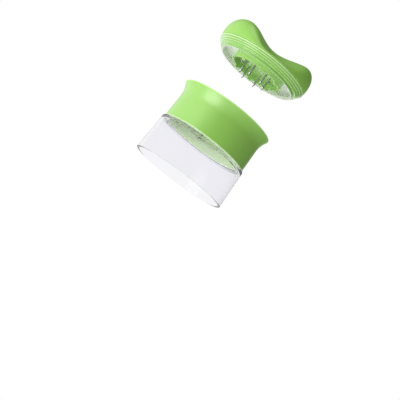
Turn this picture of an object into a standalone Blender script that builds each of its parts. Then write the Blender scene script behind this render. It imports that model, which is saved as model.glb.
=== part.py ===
"""Hand held spiral vegetable cutter: a clear cup with a soft collar round a julienne deck, and above it
a saddle shaped food holder that slides down and turns. Metres, +Z up along the tool's own axis, with the
origin in the middle of the cup's foot. The holder stands raised, with room for a vegetable under it.
"""

from math import acos, cos, pi, radians, sin, sqrt, tan, tau

import bmesh
import bpy
from mathutils import Matrix, Vector

# Clearance and fineness
fit_gap = 0.0003  # between pieces that touch or slide on each other
ring_steps = 60
small_steps = 12
corner_steps = 2
rim_gap_steps = 6
sharp_angle = radians(35)
cut_margin = 0.002  # how far a cutter reaches past the faces it cuts
merge_distance = 0.000001

# Clear cup and the liner that carries on from it inside the collar
liner_bore_radius = 0.0377
liner_wall = 0.0022
shoulder_step = 0.0046  # cup's shoulder beyond the liner
cup_flare = 0.0015
cup_height = 0.0372
cup_wall = 0.0024
foot_round = 0.0005
shoulder_round = 0.0010
ledge_rise = 0.0107
ledge_thickness = 0.0024
ledge_width = 0.0043

# Soft collar
collar_height = 0.0370
collar_wall = 0.0021
lip_flare = 0.0040
lip_width = 0.0027
flare_height = 0.0110  # of the liner's mouth
collar_flare_height = 0.0132  # of the collar's outside
collar_flare_steps = 6
lip_round = 0.0009
collar_foot_flare = 0.0006
collar_foot_round = 0.0006

# Blade deck
deck_thickness = 0.0030
slice_thickness = 0.0033
rim_rise = 0.0004
core_boss_radius = 0.0053
slot_lead = 0.0050  # open slot in front of the cutting edge
slot_tail = 0.0030  # slot under the blade
slot_end_margin = 0.0008
ramp_gap_angle = radians(5)

# Feed guide
guide_inset = 0.0055
guide_height = 0.0110
guide_flange = 0.0030
guide_wall = 0.0020

# Blades, comb and core tube
blade_depth = 0.0140
blade_thickness = 0.0008
blade_bevel = 0.0022
comb_depth = 0.0058
comb_thickness = 0.0008
noodle_width = 0.0033
tooth_thickness = 0.0005
tooth_clearance = 0.0009
tooth_rake = 0.0034
tooth_root = 0.0012
tooth_foot_rise = 0.0002
tooth_top_drop = 0.0002
core_tube_radius = 0.0038
core_tube_wall = 0.0007
core_tube_rise = 0.0042
core_tube_bevel = 0.0014
core_tube_steps = 32
core_flange_radius = 0.0060
core_flange_thickness = 0.0008

# Screws
blade_screw_shank = 0.0010
blade_screw_head = 0.0019
blade_screw_head_height = 0.0007
blade_screw_grip = 0.0028
deck_screw_shank = 0.0010
deck_screw_head = 0.0017
deck_screw_head_height = 0.0015
deck_screw_bite = 0.0020
deck_screw_count = 3
hub_screw_shank = 0.0012
hub_screw_head = 0.0024
hub_screw_head_height = 0.0016
hub_screw_bite = 0.0070
hub_screw_count = 3
driver_slot_width = 0.0005
driver_slot_depth = 0.0004
head_flat = 0.7  # flat top of a pan head, as a share of its radius
head_skirt = 0.4  # straight side of a pan head, as a share of its height

# Holder guard
raised_gap = 0.0471  # from the collar's lip to the guard's underside, as the holder stands raised
guard_inset = 0.0003
guard_height = 0.0057
guard_brim = 0.0008  # straight edge above the tapered wall
guard_taper = 0.0044
guard_round = 0.0010
guard_edge_round = 0.0005
plug_depth = 0.0023
plug_inset = 0.0067
plug_wall = 0.0018
guard_plate = 0.0024
guard_haunch = 0.0027  # slope between the plug ring's bore and the plate
hub_bore_radius = 0.0223

# Food hub and its prongs
hub_overhang = 0.0040  # hub's rim beyond its neck
hub_rim_wall = 0.0022
hub_ceiling = 0.0045
hub_drop = 0.0010  # hub's rim below the plug ring
hub_tab_drop = 0.0018
hub_tab_count = 8
hub_tab_angle = radians(9)
hub_tab_turn = radians(41)
prong_count = 6
prong_ring_radius = 0.0130
prong_radius = 0.0010
prong_head_radius = 0.0017
prong_head_height = 0.0008
prong_length = 0.0090  # beyond the hub's rim
prong_point = 0.0030

# Saddle grip
grip_lobe_bulge = 0.0010
grip_centre_height = 0.0150
grip_lobe_rise = 0.0070
grip_lobe_reach = 0.0400
grip_waist_width = 0.0230
grip_lobe_widening = 0.0240
grip_edge_power = 12.0
grip_edge_softness = 0.42
grip_scoop_power = 4
grip_wall = 0.0030
core_clearance = 0.0007
grip_steps = 44
grip_rings = 24
core_steps = 28
core_rings = 16

# Levels and radii that follow
liner_radius = liner_bore_radius + liner_wall
cup_shoulder_radius = liner_radius + shoulder_step
cup_foot_radius = cup_shoulder_radius + cup_flare
collar_bore_radius = liner_radius + fit_gap
collar_waist_radius = collar_bore_radius + collar_wall
collar_lip_radius = collar_waist_radius + lip_flare
collar_foot_radius = collar_waist_radius + collar_foot_flare
collar_mouth_radius = collar_lip_radius - lip_width
liner_mouth_radius = collar_mouth_radius - fit_gap
lip_level = cup_height + collar_height
liner_top = lip_level - fit_gap
flare_level = lip_level - flare_height
ledge_top = cup_height + ledge_rise
ledge_bore_radius = liner_bore_radius - ledge_width

deck_radius = liner_bore_radius - fit_gap
deck_bottom = ledge_top + fit_gap
deck_floor = deck_bottom + deck_thickness
ramp_top = deck_floor + slice_thickness
deck_rim_top = ramp_top + rim_rise
feed_bore_radius = deck_radius - guide_inset
slot_inner = core_boss_radius + slot_end_margin
slot_outer = feed_bore_radius - slot_end_margin
slot_middle = (slot_inner + slot_outer) / 2
slot_length = slot_outer - slot_inner
guide_bottom = deck_rim_top + fit_gap
guide_top = guide_bottom + guide_height
deck_screw_radius = (ledge_bore_radius + liner_bore_radius) / 2

guard_radius = collar_lip_radius - guard_inset
guard_bottom = lip_level + raised_gap
guard_top = guard_bottom + guard_height
plug_radius = guard_radius - plug_inset
plug_bore_radius = plug_radius - plug_wall
plug_bottom = guard_bottom - plug_depth
plate_bottom = guard_top - guard_plate
hub_neck_radius = hub_bore_radius - fit_gap
hub_rim_radius = hub_neck_radius + hub_overhang
hub_socket_radius = hub_rim_radius - hub_rim_wall
hub_top = guard_top
hub_socket_top = hub_top - hub_ceiling
hub_rim_bottom = plug_bottom - hub_drop
hub_tab_bottom = hub_rim_bottom - hub_tab_drop
grip_bottom = guard_top + fit_gap
hub_screw_radius = (prong_ring_radius + hub_neck_radius) / 2


def clear_scene():
    for thing in list(bpy.data.objects):
        bpy.data.objects.remove(thing, do_unlink=True)


def new_collection(name):
    made = bpy.data.collections.new(name)
    bpy.context.scene.collection.children.link(made)
    return made


def linear(level):
    """One sRGB level from 0 to 255 as the linear value that a shader takes."""
    share = level / 255
    return share / 12.92 if share <= 0.04045 else ((share + 0.055) / 1.055) ** 2.4


def new_material(name, colour, roughness, metallic=0.0, transmission=0.0):
    made = bpy.data.materials.new(name)
    made.use_nodes = True
    shader = made.node_tree.nodes["Principled BSDF"]
    shader.inputs["Base Color"].default_value = (*map(linear, colour), 1.0)
    shader.inputs["Roughness"].default_value = roughness
    shader.inputs["Metallic"].default_value = metallic
    shader.inputs["Transmission Weight"].default_value = transmission
    return made


def new_object(name, mesh, material, place):
    made = bpy.data.objects.new(name, mesh)
    made.data.materials.append(material)
    place.objects.link(made)
    return made


def hide_cutter(cutter):
    cutter.hide_render = True
    cutter.display_type = "WIRE"
    return cutter


def shade_round(obj):
    obj.data.shade_smooth()
    obj.data.set_sharp_from_angle(angle=sharp_angle)


def rounded(corners):
    """The closed outline through (radius, height, rounding) corners, each rounding made an arc."""
    points = []
    for index, (across, up, rounding) in enumerate(corners):
        corner = Vector((across, up))
        if rounding == 0:
            points.append(corner)
            continue
        before = Vector(corners[index - 1][:2]) - corner
        after = Vector(corners[(index + 1) % len(corners)][:2]) - corner
        before.normalize()
        after.normalize()
        half = acos(max(-1.0, min(1.0, before.dot(after)))) / 2
        reach = rounding / tan(half)
        middle = corner + (before + after).normalized() * rounding / sin(half)
        start = corner + before * reach - middle
        end = corner + after * reach - middle
        sweep = acos(max(-1.0, min(1.0, start.dot(end) / (start.length * end.length))))
        side = 1 if start.x * end.y - start.y * end.x > 0 else -1
        for step in range(corner_steps + 1):
            turn = Matrix.Rotation(side * sweep * step / corner_steps, 2)
            points.append(middle + turn @ start)
    return points


def turned(name, points, material, place, steps=ring_steps, closed=True):
    """A profile of (radius, height) points turned about Z. It runs down its outer side."""
    mesh = bpy.data.meshes.new(name)
    vertices = [(point[0], 0.0, point[1]) for point in points]
    edges = [(index, index + 1) for index in range(len(points) - 1)]
    if closed:
        edges.append((len(points) - 1, 0))
    mesh.from_pydata(vertices, edges, [])
    made = new_object(name, mesh, material, place)
    screw = made.modifiers.new("turn", "SCREW")
    screw.axis = "Z"
    screw.angle = tau
    screw.steps = steps
    screw.render_steps = steps
    screw.use_merge_vertices = True
    screw.merge_threshold = merge_distance
    screw.use_smooth_shade = False
    return made


def mesh_from(name, build):
    mesh = bpy.data.meshes.new(name)
    shape = bmesh.new()
    build(shape)
    bmesh.ops.recalc_face_normals(shape, faces=shape.faces)
    shape.to_mesh(mesh)
    shape.free()
    return mesh


def box_mesh(name, low, high):
    size = Vector(high) - Vector(low)
    middle = (Vector(high) + Vector(low)) / 2

    def build(shape):
        bmesh.ops.create_cube(shape, size=1.0)
        bmesh.ops.scale(shape, vec=size, verts=shape.verts)
        bmesh.ops.translate(shape, vec=middle, verts=shape.verts)

    return mesh_from(name, build)


def rod_mesh(name, radius, low, high, steps=small_steps):
    """An upright cylinder on the object's own axis."""

    def build(shape):
        bmesh.ops.create_cone(
            shape, cap_ends=True, segments=steps, radius1=radius, radius2=radius, depth=high - low
        )
        bmesh.ops.translate(shape, vec=(0, 0, (high + low) / 2), verts=shape.verts)

    return mesh_from(name, build)


def join_or_cut(target, other, operation):
    step = target.modifiers.new(operation.lower(), "BOOLEAN")
    step.operation = operation
    step.solver = "EXACT"
    step.object = other


def cut(target, mesh, place, at=(0, 0, 0)):
    cutter = hide_cutter(new_object(mesh.name, mesh, target.data.materials[0], place))
    cutter.location = at
    join_or_cut(target, cutter, "DIFFERENCE")


def join(target, mesh, place, at=(0, 0, 0)):
    added = hide_cutter(new_object(mesh.name, mesh, target.data.materials[0], place))
    added.location = at
    join_or_cut(target, added, "UNION")


def around(count, radius, turn=0.0):
    """Evenly spaced (x, y) places on a circle."""
    return [
        (radius * cos(turn + tau * index / count), radius * sin(turn + tau * index / count))
        for index in range(count)
    ]


def make_cup(material, parts, cutters):
    """Cup, shoulder, liner, ledge and flared mouth, in one clear moulding."""
    inner_foot = cup_foot_radius - cup_wall
    inner_shoulder = cup_shoulder_radius - cup_wall
    ceiling = cup_height - cup_wall
    corners = [
        (liner_mouth_radius, liner_top, 0),
        (liner_radius, flare_level, 0),
        (liner_radius, cup_height, 0),
        (cup_shoulder_radius, cup_height, shoulder_round),
        (cup_foot_radius, 0.0, foot_round),
        (inner_foot, 0.0, foot_round),
        (inner_shoulder, ceiling, shoulder_round),
        (liner_bore_radius, ceiling, 0),
        (liner_bore_radius, ledge_top - ledge_thickness, 0),
        (ledge_bore_radius, ledge_top - ledge_thickness, 0),
        (ledge_bore_radius, ledge_top, 0),
        (liner_bore_radius, ledge_top, 0),
        (liner_bore_radius, flare_level, 0),
        (liner_mouth_radius - liner_wall, liner_top, 0),
    ]
    cup = turned("clear_cup", rounded(corners), material, parts)
    hole_low = ledge_top - ledge_thickness - cut_margin
    for number, (x, y) in enumerate(around(deck_screw_count, deck_screw_radius, pi / 2), 1):
        hole = rod_mesh(f"cup_hole_{number}", deck_screw_shank + fit_gap, hole_low, ledge_top + cut_margin)
        cut(cup, hole, cutters, (x, y, 0))


def make_collar(material, parts):
    """Soft sleeve that hugs the liner, waisted below a flared lip."""
    foot = cup_height + fit_gap
    lip_edge = lip_level - lip_round
    outer = [(collar_lip_radius - lip_round, lip_level), (collar_lip_radius, lip_edge)]
    for step in range(1, collar_flare_steps + 1):
        share = step / collar_flare_steps
        drop = collar_flare_height * share
        inset = lip_flare * (1 - (1 - share) ** 2)
        outer.append((collar_lip_radius - inset, lip_edge - drop))
    outer.append((collar_foot_radius, foot + collar_foot_round))
    outer.append((collar_foot_radius - collar_foot_round, foot))
    inner = [
        (collar_bore_radius, foot),
        (collar_bore_radius, flare_level),
        (collar_mouth_radius, lip_level),
    ]
    turned("collar_grip", outer + inner, material, parts)


def ramp_mesh(name):
    """The space over the spiral ramp: a tall ring section carried once round while it climbs."""

    def build(shape):
        inner, outer = core_boss_radius, feed_bore_radius
        low, high = deck_floor, deck_rim_top + slice_thickness + cut_margin
        start = Matrix.Rotation(ramp_gap_angle, 3, "Z")
        corners = [(inner, low), (outer, low), (outer, high), (inner, high)]
        vertices = [shape.verts.new(start @ Vector((across, 0, up))) for across, up in corners]
        face = shape.faces.new(vertices)
        turns = ring_steps
        bmesh.ops.spin(
            shape,
            geom=[*vertices, *face.edges, face],
            cent=(0, 0, 0),
            axis=(0, 0, 1),
            dvec=(0, 0, slice_thickness / turns),
            angle=tau - 2 * ramp_gap_angle,
            steps=turns,
        )

    return mesh_from(name, build)


def make_deck(material, parts, cutters):
    """Round deck with a one turn spiral ramp, the cutting slot, pockets for the steel and its holes."""
    steel_room = blade_thickness + fit_gap
    comb_room = comb_thickness + fit_gap
    high = deck_rim_top + cut_margin
    low = deck_bottom - cut_margin
    outline = [
        (0, deck_rim_top),
        (deck_radius, deck_rim_top),
        (deck_radius, deck_bottom),
        (0, deck_bottom),
    ]
    deck = turned("blade_deck", outline, material, parts, closed=False)
    cut(deck, ramp_mesh("ramp_space"), cutters)
    slot = box_mesh("slot_space", (slot_inner, -slot_tail, low), (slot_outer, slot_lead, high))
    cut(deck, slot, cutters)
    blade_floor = ramp_top - steel_room
    blade_pocket = box_mesh(
        "blade_pocket", (slot_inner, -blade_depth - fit_gap, blade_floor), (slot_outer, 0, high)
    )
    cut(deck, blade_pocket, cutters)
    comb_floor = deck_floor - comb_room
    comb_end = slot_lead + comb_depth + fit_gap
    comb_pocket = box_mesh("comb_pocket", (slot_inner, 0, comb_floor), (slot_outer, comb_end, high))
    cut(deck, comb_pocket, cutters)
    cut(deck, rod_mesh("core_hole", core_tube_radius + fit_gap, low, high, core_tube_steps), cutters)
    for number, (x, y) in enumerate(around(deck_screw_count, deck_screw_radius, pi / 2), 1):
        hole = rod_mesh(f"deck_hole_{number}", deck_screw_shank + fit_gap, low, high)
        cut(deck, hole, cutters, (x, y, 0))
    thread_radius = blade_screw_shank + fit_gap
    for number, (x, y) in enumerate(blade_screw_places(), 1):
        bottom = ramp_top - blade_screw_grip - fit_gap
        cut(deck, rod_mesh(f"blade_thread_{number}", thread_radius, bottom, high), cutters, (x, y, 0))
    for number, (x, y) in enumerate(comb_screw_places(), 1):
        cut(deck, rod_mesh(f"comb_thread_{number}", thread_radius, low, high), cutters, (x, y, 0))


def blade_screw_places():
    back = -(slot_tail + blade_depth) / 2
    return [(slot_middle - slot_length / 4, back), (slot_middle + slot_length / 4, back)]


def comb_screw_places():
    back = slot_lead + comb_depth / 2
    return [(slot_middle - slot_length / 4, back), (slot_middle + slot_length / 4, back)]


def make_guide(material, parts, cutters):
    """Funnel that centres the vegetable over the deck, with a foot flange the deck screws pull down."""
    flange_top = guide_bottom + guide_flange
    mouth = deck_radius
    outline = [
        (mouth, guide_top),
        (mouth, guide_top - guide_wall),
        (feed_bore_radius + guide_wall, flange_top + guide_wall / 2),
        (feed_bore_radius + guide_wall, flange_top),
        (deck_radius, flange_top),
        (deck_radius, guide_bottom),
        (feed_bore_radius, guide_bottom),
        (feed_bore_radius, flange_top + guide_wall / 2),
        (mouth - guide_wall / 2, guide_top),
    ]
    guide = turned("feed_guide", outline, material, parts)
    top = guide_bottom + deck_screw_bite + fit_gap
    for number, (x, y) in enumerate(around(deck_screw_count, deck_screw_radius, pi / 2), 1):
        hole = rod_mesh(f"guide_hole_{number}", deck_screw_shank + fit_gap, guide_bottom - cut_margin, top)
        cut(guide, hole, cutters, (x, y, 0))


def make_blade(material, parts, cutters):
    """Flat steel slicer whose ground edge lies across the slot, over the start of the ramp."""
    low = (slot_inner + fit_gap, -blade_depth, ramp_top - blade_thickness)
    high = (slot_outer - fit_gap, 0.0, ramp_top)
    mesh = box_mesh("slicing_blade", low, high)
    for vertex in mesh.vertices:
        if vertex.co.y > -blade_depth / 2 and vertex.co.z < ramp_top - blade_thickness / 2:
            vertex.co.y -= blade_bevel
    blade = new_object("slicing_blade", mesh, material, parts)
    hole_low = low[2] - cut_margin
    hole_high = high[2] + cut_margin
    for number, (x, y) in enumerate(blade_screw_places(), 1):
        hole = rod_mesh(f"blade_hole_{number}", blade_screw_shank + fit_gap, hole_low, hole_high)
        cut(blade, hole, cutters, (x, y, 0))


def make_comb(material, parts, cutters):
    """Steel strip with upright teeth, one noodle apart, standing in the slot ahead of the blade."""
    strip_top = deck_floor
    strip_bottom = deck_floor - comb_thickness
    front = slot_lead + comb_depth
    mesh = box_mesh(
        "julienne_comb",
        (slot_inner + fit_gap, slot_lead + fit_gap, strip_bottom),
        (slot_outer - fit_gap, front, strip_top),
    )
    comb = new_object("julienne_comb", mesh, material, parts)
    count = int((slot_length - noodle_width) / noodle_width) + 1
    first = slot_middle - noodle_width * (count - 1) / 2
    foot = slot_lead + tooth_root
    for number in range(count):
        across = first + number * noodle_width
        tooth = box_mesh(
            f"tooth_{number + 1}",
            (across - tooth_thickness / 2, tooth_clearance, strip_bottom + tooth_foot_rise),
            (across + tooth_thickness / 2, foot, ramp_top - tooth_top_drop),
        )
        for vertex in tooth.vertices:
            if vertex.co.y > slot_lead / 2 and vertex.co.z > strip_top:
                vertex.co.y -= tooth_rake
        join(comb, tooth, cutters)
    hole_low = strip_bottom - cut_margin
    hole_high = strip_top + cut_margin
    for number, (x, y) in enumerate(comb_screw_places(), 1):
        hole = rod_mesh(f"comb_hole_{number}", blade_screw_shank + fit_gap, hole_low, hole_high)
        cut(comb, hole, cutters, (x, y, 0))


def make_core_tube(material, parts):
    """Sharpened tube that spears the vegetable's middle, with a flange under the deck."""
    bore = core_tube_radius - core_tube_wall
    top = ramp_top + core_tube_rise
    flange_top = deck_bottom - fit_gap
    flange_bottom = flange_top - core_flange_thickness
    outline = [
        (core_tube_radius, top - core_tube_bevel),
        (core_tube_radius, flange_top),
        (core_flange_radius, flange_top),
        (core_flange_radius, flange_bottom),
        (bore, flange_bottom),
        (bore, top),
    ]
    turned("core_tube", outline, material, parts, steps=core_tube_steps)


def make_screw(name, at, head_level, facing, sizes, material, parts, cutters):
    """A pan head screw. facing is 1 with its head up and -1 with its head down.
    sizes holds shank radius, length under the head, head radius and head height."""
    shank, length, head, head_height = sizes
    outline = [
        (0, head_level + facing * head_height),
        (head * head_flat, head_level + facing * head_height),
        (head, head_level + facing * head_height * head_skirt),
        (head, head_level),
        (shank, head_level),
        (shank, head_level - facing * (length - shank)),
        (0, head_level - facing * length),
    ]
    if facing < 0:
        outline.reverse()
    screw = turned(name, outline, material, parts, steps=small_steps, closed=False)
    screw.location = (*at, 0)
    ends = sorted(
        [
            head_level + facing * (head_height - driver_slot_depth),
            head_level + facing * (head_height + cut_margin),
        ]
    )
    half = driver_slot_width / 2
    reach = head + cut_margin
    groove = box_mesh(f"{name}_groove", (-reach, -half, ends[0]), (reach, half, ends[1]))
    cut(screw, groove, cutters, (*at, 0))
    return screw


def make_body_screws(material, parts, cutters):
    """Screws that hold the blade and the comb down, and the deck and guide to the cup's ledge."""
    head = (blade_screw_head, blade_screw_head_height)
    blade_sizes = (blade_screw_shank, blade_screw_grip - fit_gap, *head)
    for number, at in enumerate(blade_screw_places(), 1):
        name = f"blade_screw_{number}"
        make_screw(name, at, ramp_top + fit_gap, 1, blade_sizes, material, parts, cutters)
    comb_length = deck_thickness - comb_thickness + fit_gap
    comb_sizes = (blade_screw_shank, comb_length, *head)
    for number, at in enumerate(comb_screw_places(), 1):
        name = f"comb_screw_{number}"
        make_screw(name, at, deck_floor + fit_gap, 1, comb_sizes, material, parts, cutters)
    head_level = ledge_top - ledge_thickness - fit_gap
    deck_length = guide_bottom + deck_screw_bite - head_level
    deck_sizes = (deck_screw_shank, deck_length, deck_screw_head, deck_screw_head_height)
    for number, at in enumerate(around(deck_screw_count, deck_screw_radius, pi / 2), 1):
        make_screw(f"deck_screw_{number}", at, head_level, -1, deck_sizes, material, parts, cutters)


def make_guard(material, parts):
    """Clear guard: a tapered wall that sits in the mouth, a plug ring that centres it and a thin plate."""
    corners = [
        (guard_radius, guard_top, guard_edge_round),
        (guard_radius, guard_top - guard_brim, 0),
        (guard_radius - guard_taper, guard_bottom, guard_round),
        (plug_radius, guard_bottom, 0),
        (plug_radius, plug_bottom, 0),
        (plug_bore_radius, plug_bottom, 0),
        (plug_bore_radius, plate_bottom - guard_haunch, 0),
        (plug_bore_radius + guard_haunch, plate_bottom, 0),
        (hub_bore_radius, plate_bottom, 0),
        (hub_bore_radius, guard_top, 0),
    ]
    return turned("holder_guard", rounded(corners), material, parts)


def rim_gap_mesh(name):
    """The gaps between the hub's tabs: short ring sections below the rim."""
    step = tau / hub_tab_count
    gap = step - hub_tab_angle

    def build(shape):
        inner, outer = hub_socket_radius - cut_margin, hub_rim_radius + cut_margin
        low, high = hub_tab_bottom - cut_margin, hub_rim_bottom
        for number in range(hub_tab_count):
            start = Matrix.Rotation(hub_tab_turn + number * step + hub_tab_angle / 2, 3, "Z")
            corners = [(inner, low), (outer, low), (outer, high), (inner, high)]
            vertices = [shape.verts.new(start @ Vector((across, 0, up))) for across, up in corners]
            face = shape.faces.new(vertices)
            bmesh.ops.spin(
                shape,
                geom=[*vertices, *face.edges, face],
                cent=(0, 0, 0),
                axis=(0, 0, 1),
                angle=gap,
                steps=rim_gap_steps,
            )

    return mesh_from(name, build)


def make_hub(material, parts, cutters):
    """Hub that hangs below the guard: a neck through its bore, and a toothed rim round the food socket."""
    neck_bottom = plate_bottom - fit_gap
    outline = [
        (0, hub_top),
        (hub_neck_radius, hub_top),
        (hub_neck_radius, neck_bottom),
        (hub_rim_radius, neck_bottom),
        (hub_rim_radius, hub_tab_bottom),
        (hub_socket_radius, hub_tab_bottom),
        (hub_socket_radius, hub_socket_top),
        (0, hub_socket_top),
    ]
    hub = turned("food_hub", outline, material, parts, closed=False)
    cut(hub, rim_gap_mesh("rim_gaps"), cutters)
    low = hub_socket_top - cut_margin
    high = hub_top + cut_margin
    for number, (x, y) in enumerate(around(prong_count, prong_ring_radius), 1):
        cut(hub, rod_mesh(f"prong_hole_{number}", prong_radius + fit_gap, low, high), cutters, (x, y, 0))
        seat = hub_top - prong_head_height - fit_gap
        recess = rod_mesh(f"prong_seat_{number}", prong_head_radius + fit_gap, seat, high)
        cut(hub, recess, cutters, (x, y, 0))
    for number, (x, y) in enumerate(hub_screw_places(), 1):
        cut(hub, rod_mesh(f"hub_hole_{number}", hub_screw_shank + fit_gap, low, high), cutters, (x, y, 0))
    return hub


def hub_screw_places():
    return around(hub_screw_count, hub_screw_radius, pi / prong_count)


def make_prongs(material, parts):
    """Pointed steel pins, headed in the hub's top, that hold the vegetable's end."""
    made = []
    top = hub_top
    under_head = top - prong_head_height
    tip = hub_rim_bottom - prong_length
    outline = [
        (0, top),
        (prong_head_radius, top),
        (prong_head_radius, under_head),
        (prong_radius, under_head),
        (prong_radius, tip + prong_point),
        (0, tip),
    ]
    for number, (x, y) in enumerate(around(prong_count, prong_ring_radius), 1):
        prong = turned(f"food_prong_{number}", outline, material, parts, steps=small_steps, closed=False)
        prong.location = (x, y, 0)
        made.append(prong)
    return made


def make_hub_screws(material, parts, cutters):
    made = []
    head_level = hub_socket_top - fit_gap
    length = grip_bottom + hub_screw_bite - head_level
    sizes = (hub_screw_shank, length, hub_screw_head, hub_screw_head_height)
    for number, at in enumerate(hub_screw_places(), 1):
        made.append(make_screw(f"hub_screw_{number}", at, head_level, -1, sizes, material, parts, cutters))
    return made


def smooth_step(share):
    share = max(0.0, min(1.0, share))
    return share * share * (3 - 2 * share)


def saddle_mesh(name, inset, bottom, steps, rings):
    """The grip's form, its sides and top drawn in by inset: a dome over a disc, low in the middle,
    with a lobe at each end of X and a scoop at each end of Y."""
    radius = guard_radius - inset

    def place(vertex):
        across = sqrt(vertex.co.x**2 + vertex.co.y**2)
        if across < merge_distance:
            vertex.co = (0, 0, bottom + grip_centre_height - inset)
            return
        direction = (vertex.co.x / across, vertex.co.y / across)
        lobe = smooth_step(direction[0] ** 2)
        edge = (1 - min(1.0, across) ** grip_edge_power) ** grip_edge_softness
        reach = radius * across + grip_lobe_bulge * lobe * sin(pi * edge) * across
        x = direction[0] * reach
        y = direction[1] * reach
        rise = smooth_step(abs(x) / grip_lobe_reach)
        height = grip_centre_height + grip_lobe_rise * rise - inset
        width = grip_waist_width + grip_lobe_widening * rise - inset
        fall = 1 / (1 + (abs(y) / width) ** grip_scoop_power)
        vertex.co = (x, y, bottom + height * fall * edge)

    def build(shape):
        bmesh.ops.create_uvsphere(shape, u_segments=steps, v_segments=rings, radius=1.0)
        lower = [vertex for vertex in shape.verts if vertex.co.z < -merge_distance]
        bmesh.ops.delete(shape, geom=lower, context="VERTS")
        for vertex in shape.verts:
            place(vertex)
        rim = [edge for edge in shape.edges if edge.is_boundary]
        bmesh.ops.contextual_create(shape, geom=rim)

    return mesh_from(name, build)


def make_grip(soft, hard, parts, cutters):
    """Soft saddle cover over a hard core. The core fills the cover's open underside."""
    outside = saddle_mesh("grip_cover", 0.0, grip_bottom, grip_steps, grip_rings)
    cover = new_object("grip_cover", outside, soft, parts)
    cavity = saddle_mesh("grip_cavity", grip_wall - core_clearance, grip_bottom, core_steps, core_rings)
    for vertex in cavity.vertices:
        if vertex.co.z < grip_bottom + fit_gap / 2:
            vertex.co.z = grip_bottom - cut_margin
    cut(cover, cavity, cutters)
    inside = saddle_mesh("grip_core", grip_wall, grip_bottom, core_steps, core_rings)
    core = new_object("grip_core", inside, hard, parts)
    top = grip_bottom + hub_screw_bite + fit_gap
    for number, (x, y) in enumerate(hub_screw_places(), 1):
        hole = rod_mesh(f"core_thread_{number}", hub_screw_shank + fit_gap, grip_bottom - cut_margin, top)
        cut(core, hole, cutters, (x, y, 0))
    return [cover, core]


def hang(name, children, parts):
    """An empty on the tool's axis that carries a moving group."""
    carrier = bpy.data.objects.new(name, None)
    parts.objects.link(carrier)
    carrier.location = (0, 0, guard_bottom)
    bpy.context.view_layer.update()
    for child in children:
        child.parent = carrier
        child.matrix_parent_inverse = carrier.matrix_world.inverted()
    return carrier


def main():
    clear_scene()
    parts = new_collection("spiral_vegetable_cutter")
    cutters = new_collection("cutters")
    cutters.hide_render = True
    clear = new_material("clear_plastic", (236, 238, 242), 0.05, transmission=1.0)
    soft = new_material("soft_green", (126, 186, 76), 0.55)
    hard = new_material("hard_green", (150, 205, 105), 0.30)
    white = new_material("core_plastic", (226, 230, 222), 0.40)
    steel = new_material("blade_steel", (196, 198, 200), 0.22, metallic=1.0)

    make_cup(clear, parts, cutters)
    make_collar(soft, parts)
    make_deck(hard, parts, cutters)
    make_guide(hard, parts, cutters)
    make_blade(steel, parts, cutters)
    make_comb(steel, parts, cutters)
    make_core_tube(steel, parts)
    make_body_screws(steel, parts, cutters)

    guard = make_guard(clear, parts)
    turning = [make_hub(hard, parts, cutters)]
    turning += make_grip(soft, white, parts, cutters)
    turning += make_prongs(steel, parts)
    turning += make_hub_screws(steel, parts, cutters)
    turn = hang("holder_turn", turning, parts)
    hang("holder_feed", [guard, turn], parts)

    for thing in parts.objects:
        if thing.type == "MESH" and thing.data.polygons:
            shade_round(thing)


main()
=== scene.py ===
# %% [markdown]
# # A hand held spiral vegetable cutter
#
# The tool is a clear cup with a soft green collar round a cutting deck, and above it a food holder with a
# saddle shaped grip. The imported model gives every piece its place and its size. This lesson dresses it:
# it makes fine surfaces for the moulded pieces, gives each one its plastic or steel, and lights the whole.

import bmesh
import bpy
import numpy as np
from mathutils import Matrix, Vector


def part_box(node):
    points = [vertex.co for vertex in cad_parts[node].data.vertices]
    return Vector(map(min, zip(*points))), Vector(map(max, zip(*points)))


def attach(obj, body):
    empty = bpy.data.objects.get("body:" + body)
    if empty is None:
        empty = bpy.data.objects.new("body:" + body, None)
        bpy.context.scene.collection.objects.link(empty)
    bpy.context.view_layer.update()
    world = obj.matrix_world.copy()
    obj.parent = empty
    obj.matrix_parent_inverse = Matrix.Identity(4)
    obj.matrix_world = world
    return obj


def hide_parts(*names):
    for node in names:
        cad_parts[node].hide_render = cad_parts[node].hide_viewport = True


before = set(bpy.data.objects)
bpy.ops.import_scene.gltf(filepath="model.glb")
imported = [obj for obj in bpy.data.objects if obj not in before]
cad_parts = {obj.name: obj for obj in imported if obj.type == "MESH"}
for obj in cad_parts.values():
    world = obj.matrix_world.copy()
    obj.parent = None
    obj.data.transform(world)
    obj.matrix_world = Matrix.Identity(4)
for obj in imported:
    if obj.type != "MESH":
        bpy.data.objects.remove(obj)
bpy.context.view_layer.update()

mm = 0.001


def new_object(name, data):
    """An object that belongs to the scene."""
    made = bpy.data.objects.new(name, data)
    bpy.context.collection.objects.link(made)
    return made


# %% [markdown]
# ## Where everything is
#
# The large pieces are round about one axis, so three numbers place each: its outer radius and its lowest
# and highest level. Typed in, they would go stale when the model changes. So the nodes are asked.

# %% Read radii and levels from the model
def reach(node):
    """The outer radius, the lowest and the highest level of a round node on the tool's axis."""
    low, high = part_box(node)
    return high.x, low.z, high.z


cup_radius, foot_level, liner_top = reach("clear_cup")
lip_radius, collar_foot, lip_level = reach("collar_grip")
deck_radius, deck_bottom, deck_top = reach("blade_deck")
guide_radius, guide_bottom, guide_top = reach("feed_guide")
flange_radius, tube_bottom, tube_top = reach("core_tube")
guard_radius, plug_bottom, guard_top = reach("holder_guard")
hub_radius, tab_bottom, hub_top = reach("food_hub")
grip_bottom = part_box("grip_cover")[0].z
print(f"collar lip: {2 * lip_radius / mm:.1f} mm across, {lip_level / mm:.1f} mm up")

# %% [markdown]
# ## Camera
#
# The tool was photographed tilted, from a little below the cup's foot. The frame keeps it upright, so the
# camera takes the tilt: it stands low, looks slightly up and is rolled about its own line of sight.

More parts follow.
